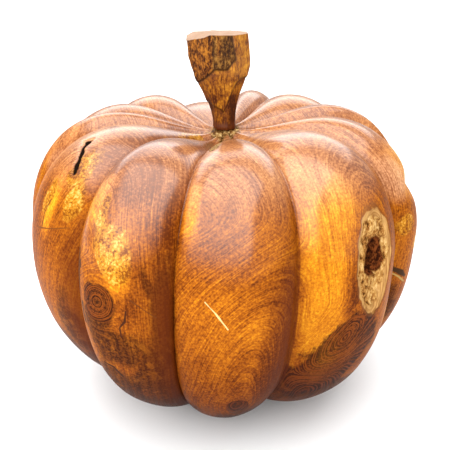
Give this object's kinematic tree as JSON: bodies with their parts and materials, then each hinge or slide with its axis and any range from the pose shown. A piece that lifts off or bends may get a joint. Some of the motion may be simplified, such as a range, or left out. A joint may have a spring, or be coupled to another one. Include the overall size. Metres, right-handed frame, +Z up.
{
  "type": "carved wooden pumpkin",
  "caption": "Ribbed pumpkin carved from a block of dark hardwood, with a dished crown, a faceted stem let into it and a small flat foot to stand on.",
  "frame": {"origin": "centre of the flat foot, on the floor, under the stem's socket", "axes": "+Z up through the stem; -Y towards the side seen in the picture"},
  "size_m": [0.3025, 0.2958, 0.2869],
  "materials": {
    "body_wood": "clear lacquer over honey-brown heartwood",
    "stem_wood": "oiled, with a rough dark patch and a pale sawn top"
  },
  "bodies": {
    "root": {"pumpkin_body": "body_wood", "stem": "stem_wood"}
  },
  "joints": []
}
